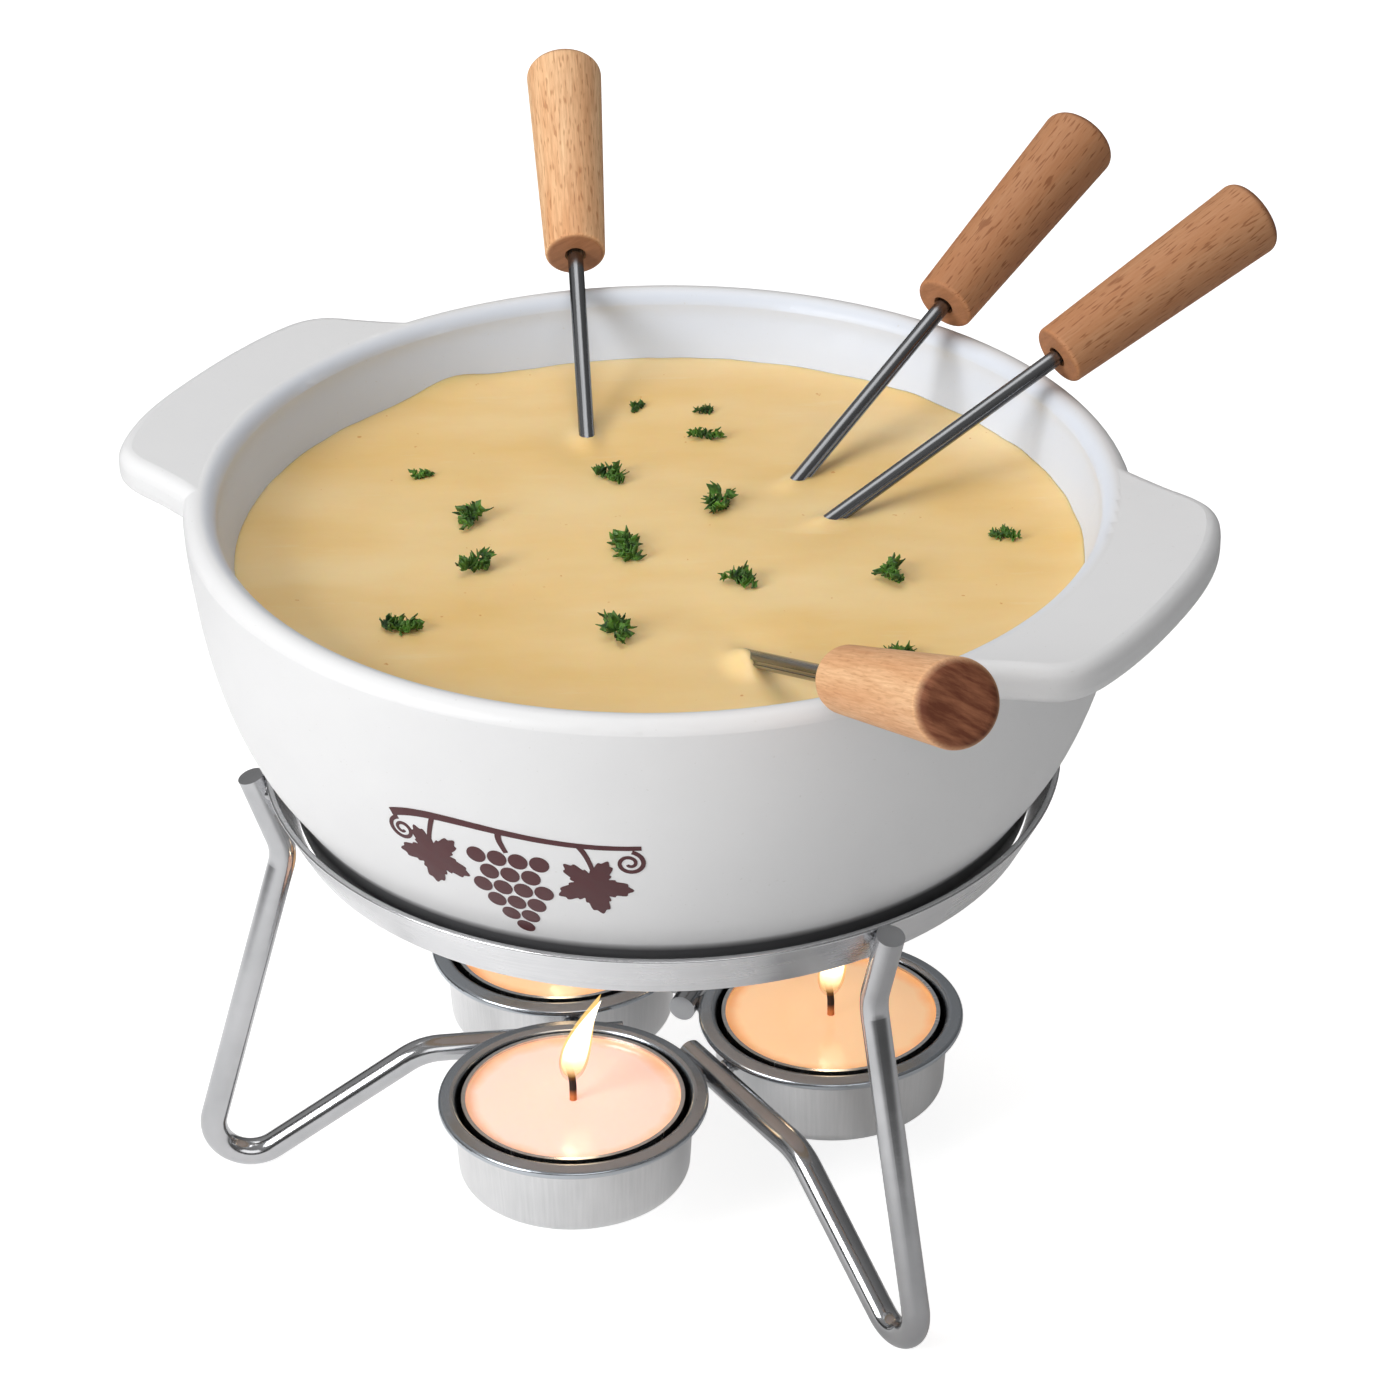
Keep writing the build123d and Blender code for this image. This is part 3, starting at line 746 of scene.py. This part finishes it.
def print_outlines():
    outlines = [stroke(curve((-20.5, 8.0), (-11, 12.2), (3, 7.6), (20.5, 8.6)), 1.5, 0.8)]
    outlines.append(stroke(curve((-1.6, 9.4), (-2.2, 8.2), (-1.6, 7), (-0.9, 5.2)), 1.1, 0.8))
    outlines.append(vine_leaf(-14.0, 1.2, math.radians(-100), 6.6))
    outlines.append(vine_leaf(12.6, 0.2, math.radians(-80), 6.6))
    outlines.append(stroke(curve((-12.6, 10.0), (-13.4, 8), (-14.2, 5), (-14.3, 3.4)), 0.9, 0.7))
    outlines.append(stroke(curve((10.8, 8.4), (12, 7), (12.8, 4), (12.9, 2.4)), 0.9, 0.7))
    outlines.append(stroke(coil(18.6, 5.4, 2.4, -1.6, math.radians(80)), 0.75, 0.5))
    outlines.append(stroke(coil(-19.0, 5.0, 2.3, 1.6, math.radians(100)), 0.75, 0.5))
    for count, v in GRAPE_ROWS:
        for place in range(count):
            outlines.append(disc(GRAPE_MIDDLE + (place - (count - 1) / 2) * GRAPE_STEP, v, GRAPE_RADIUS))
    return outlines


def on_bowl(u, v):
    # the point of the bowl's outer wall at that place of the print, and the wall's direction
    angle = PRINT_ANGLE + u * MM / PRINT_RADIUS
    out = Vector((math.cos(angle), math.sin(angle), 0))
    far = out * 0.2 + Vector((0, 0, PRINT_HEIGHT + v * MM))
    place, wall, _, _ = bowl_tree.ray_cast(far, -out)
    return place, wall if wall.dot(out) > 0 else -wall


def make_print():
    sheet = bmesh.new()
    for outline in print_outlines():
        sheet.faces.new([sheet.verts.new((u, v, 0)) for u, v in outline])
    sheet.normal_update()
    bmesh.ops.triangulate(sheet, faces=sheet.faces[:])
    for _ in range(PRINT_CUTS):
        long_edges = [edge for edge in sheet.edges if edge.calc_length() > PRINT_LONGEST_EDGE]
        bmesh.ops.subdivide_edges(sheet, edges=long_edges, cuts=1)
        sheet.normal_update()
        bmesh.ops.triangulate(sheet, faces=sheet.faces[:])
    for vert in sheet.verts:
        place, wall = on_bowl(vert.co.x, vert.co.y)
        vert.co = place + wall * PRINT_PROUD
    bmesh.ops.recalc_face_normals(sheet, faces=sheet.faces[:])
    mesh = bpy.data.meshes.new("vine_print")
    sheet.to_mesh(mesh)
    sheet.free()
    mesh.materials.append(print_material())
    vine = bpy.data.objects.new("vine_print", mesh)
    bpy.context.scene.collection.objects.link(vine)
    thick = vine.modifiers.new("thickness", "SOLIDIFY")
    thick.thickness = PRINT_THICKNESS
    thick.offset = 0
    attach(vine, "bowl_body")


# flames: height from where each starts on its wick, widest half width and lean to the right, in mm
FLAMES = {1: (17.4, 2.8, 5.4), 2: (17.5, 2.7, 3.4), 3: (16.0, 2.4, 3.0)}
FLAME_RINGS = 26
FLAME_TURNS = 28
# how far below the wick's tip a flame starts, and how far to its left
FLAME_START = 3.6 * MM
FLAME_ASIDE = 0.9 * MM
# the whole flame and its bright heart: width beside the flame's width, height and lift beside its height
FLAME_PARTS = {"flame": (1.0, 1.0, 0.0), "flame_core": (0.84, 0.888, 0.0352)}
# how far up the flame its glow sits, and its watts
GLOW_SHARE = 0.55
GLOW_POWER = 0.0015


def flame_rings(base, height, half_width, lean):
    rings = []
    for level in range(1, FLAME_RINGS):
        t = level / FLAME_RINGS
        reach = half_width * math.sin(math.pi * t ** 0.62) ** 0.9 * (1 - 0.35 * t)
        shift = lean * (0.25 * t + 0.75 * t * t)
        z = base.z + height * t
        turns = [2 * math.pi * step / FLAME_TURNS for step in range(FLAME_TURNS)]
        rings.append([(base.x + shift + reach * math.cos(a), base.y + reach * math.sin(a), z) for a in turns])
    tip = (base.x + lean, base.y, base.z + height)
    return rings, tuple(base), tip


def make_flame(index, mantle, core):
    height, half_width, lean = [value * MM for value in FLAMES[index]]
    wick_low, wick_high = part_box(f"wick_{index}")
    middle_y = (wick_low.y + wick_high.y) / 2
    base = Vector((wick_high.x - FLAME_ASIDE, middle_y, wick_high.z - FLAME_START))
    for name, material in (("flame", mantle), ("flame_core", core)):
        wide, high, lift = FLAME_PARTS[name]
        start = base + Vector((0, 0, lift * height))
        rings, low, tip = flame_rings(start, height * high, half_width * wide, lean)
        points, faces = stacked_rings(rings, low, tip)
        flame = piece_from(f"{name}_{index}", points, faces, material)
        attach(flame, f"tealight_{index}")
    glow = bpy.data.objects.new(f"glow_{index}", bpy.data.lights.new(f"glow_{index}", "POINT"))
    glow.data.energy = GLOW_POWER
    glow.data.color = (1.0, 0.72, 0.46)
    glow.data.specular_factor = 0
    glow.data.shadow_soft_size = 2 * MM
    glow.location = base + Vector((0, 0, height * GLOW_SHARE))
    bpy.context.scene.collection.objects.link(glow)
    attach(glow, f"tealight_{index}")


def make_flames():
    mantle = flame_material("flame_mantle", srgb(255, 150, 60), srgb(255, 206, 120), 1.5, 0.45)
    core = flame_material("flame_heart", srgb(255, 196, 120), srgb(255, 248, 226), 3.6, 0.97)
    for index in TEALIGHTS:
        make_flame(index, mantle, core)


# -------------------------------------------------------------------------------- stage
# camera: where it stands, how far it is turned aside, tipped down and rolled, and its lens in mm
CAMERA_PLACE = (0.0, -0.7333, 0.5129)
CAMERA_TURN = math.radians(-0.50)
CAMERA_DIP = math.radians(30.10)
CAMERA_ROLL = math.radians(-0.578)
CAMERA_LENS = 130.05
# floor: half its side, how far it lies below the feet, and how much it is whitened where it is seen
FLOOR_HALF = 6.0
FLOOR_GAP = 0.05 * MM
FLOOR_LIFT = 0.78
# lights: place, width and height, watts; all face a point in the middle of the set
LIGHTS = {
    "key": ((-0.92, -0.66, 0.62), (0.6, 0.6), 10.5),
    "front": ((0.25, -1.4, 0.7), (1.0, 0.6), 3.0),
    "top": ((-0.14, 0.3, 1.5), (1.0, 1.0), 6.0),
}
LIGHT_TARGET = (0, 0, 0.09)
# the room's brightness from straight down to straight up
ROOM_STOPS = ((0.0, 0.9), (0.49, 0.55), (0.53, 0.08), (0.6, 0.1), (0.68, 0.75), (1.0, 1.0))
ROOM_STRENGTH = 0.54
# the room's brightness where it is seen directly
ROOM_SEEN = 2.2


def make_camera():
    data = bpy.data.cameras.new("camera")
    data.lens = CAMERA_LENS
    data.sensor_width = 36
    data.clip_start = 0.01
    camera = bpy.data.objects.new("camera", data)
    turn = Matrix.Rotation(CAMERA_TURN, 4, "Z")
    dip = Matrix.Rotation(math.pi / 2 - CAMERA_DIP, 4, "X")
    camera.matrix_world = Matrix.Translation(CAMERA_PLACE) @ turn @ dip @ Matrix.Rotation(CAMERA_ROLL, 4, "Z")
    bpy.context.scene.collection.objects.link(camera)
    bpy.context.scene.camera = camera


def make_floor():
    material, tree, shader = start_material("pale_floor")
    tone = noise_of(tree, object_coords(tree), 4, 2)
    # whitened where it is seen directly; metal mirrors it bright near by on the left,
    # darker to the right and dark further out
    path = node(tree, "ShaderNodeLightPath")
    mirror = path.outputs["Is Glossy Ray"]
    aside = axis_parts(tree, object_coords(tree))[0]
    distance = around(tree, (0, 0, 0))[1]
    pale = mix_colours(tree, tone, (0.62, 0.62, 0.62, 1), (0.64, 0.64, 0.64, 1))
    far = math_of(tree, "MULTIPLY", mirror, spread(tree, distance, 0, 1, 0.22, 0.34))
    plug(tree, mix_colours(tree, far, pale, (0.16, 0.16, 0.16, 1)), shader, "Base Color")
    bright = spread(tree, aside, 0.66, 0.1, -40 * MM, 40 * MM)
    near = math_of(tree, "MULTIPLY", mirror, spread(tree, distance, 1, 0, 0.2, 0.32))
    mirrored = math_of(tree, "MULTIPLY", near, bright)
    seen = math_of(tree, "MULTIPLY", path.outputs["Is Camera Ray"], FLOOR_LIFT)
    plug(tree, math_of(tree, "ADD", seen, mirrored), shader, "Emission Strength")
    shader.inputs["Roughness"].default_value = 1.0
    shader.inputs["Specular IOR Level"].default_value = 0.0
    shader.inputs["Emission Color"].default_value = (1, 1, 1, 1)
    level = cad_low.z - FLOOR_GAP
    corners = ((-1, -1), (1, -1), (1, 1), (-1, 1))
    points = [(FLOOR_HALF * x, FLOOR_HALF * y, level) for x, y in corners]
    floor = piece_from("floor", points, [(0, 1, 2, 3)], material)


def make_softbox(name, place, size, power):
    data = bpy.data.lights.new(name, "AREA")
    data.shape = "RECTANGLE"
    data.size, data.size_y = size
    data.energy = power
    light = bpy.data.objects.new(name, data)
    light.location = place
    light.rotation_euler = (Vector(place) - Vector(LIGHT_TARGET)).to_track_quat("Z", "Y").to_euler()
    bpy.context.scene.collection.objects.link(light)


def make_world():
    # soft white room with a darker band near the horizon, which the plated wire mirrors
    world = bpy.data.worlds.new("studio")
    bpy.context.scene.world = world
    world.use_nodes = True
    tree = world.node_tree
    background = tree.nodes["Background"]
    aside, _, height = axis_parts(tree, node(tree, "ShaderNodeTexCoord").outputs["Generated"])
    ramp = node(tree, "ShaderNodeValToRGB", {"Fac": spread(tree, height, 0, 1, -1, 1)})
    shade = spread(tree, aside, 0, 1, -0.8, 1)
    room = mix_colours(tree, shade, ramp.outputs["Color"], (0.3, 0.3, 0.3, 1))
    while len(ramp.color_ramp.elements) < len(ROOM_STOPS):
        ramp.color_ramp.elements.new(0.5)
    for element, (place, tone) in zip(ramp.color_ramp.elements, ROOM_STOPS):
        element.position = place
        element.color = (tone, tone, tone, 1)
    seen = node(tree, "ShaderNodeLightPath").outputs["Is Camera Ray"]
    white = (ROOM_SEEN, ROOM_SEEN, ROOM_SEEN, 1)
    tree.links.new(mix_colours(tree, seen, room, white), background.inputs["Color"])
    background.inputs["Strength"].default_value = ROOM_STRENGTH


def make_stage():
    make_camera()
    make_floor()
    make_world()
    for name, (place, size, power) in LIGHTS.items():
        make_softbox(name, place, size, power)
    bpy.context.scene.view_settings.view_transform = "Standard"
    bpy.context.scene.view_settings.look = "None"


make_stage()
dress_cad()
make_cheese()
make_parsley()
make_print()
make_flames()
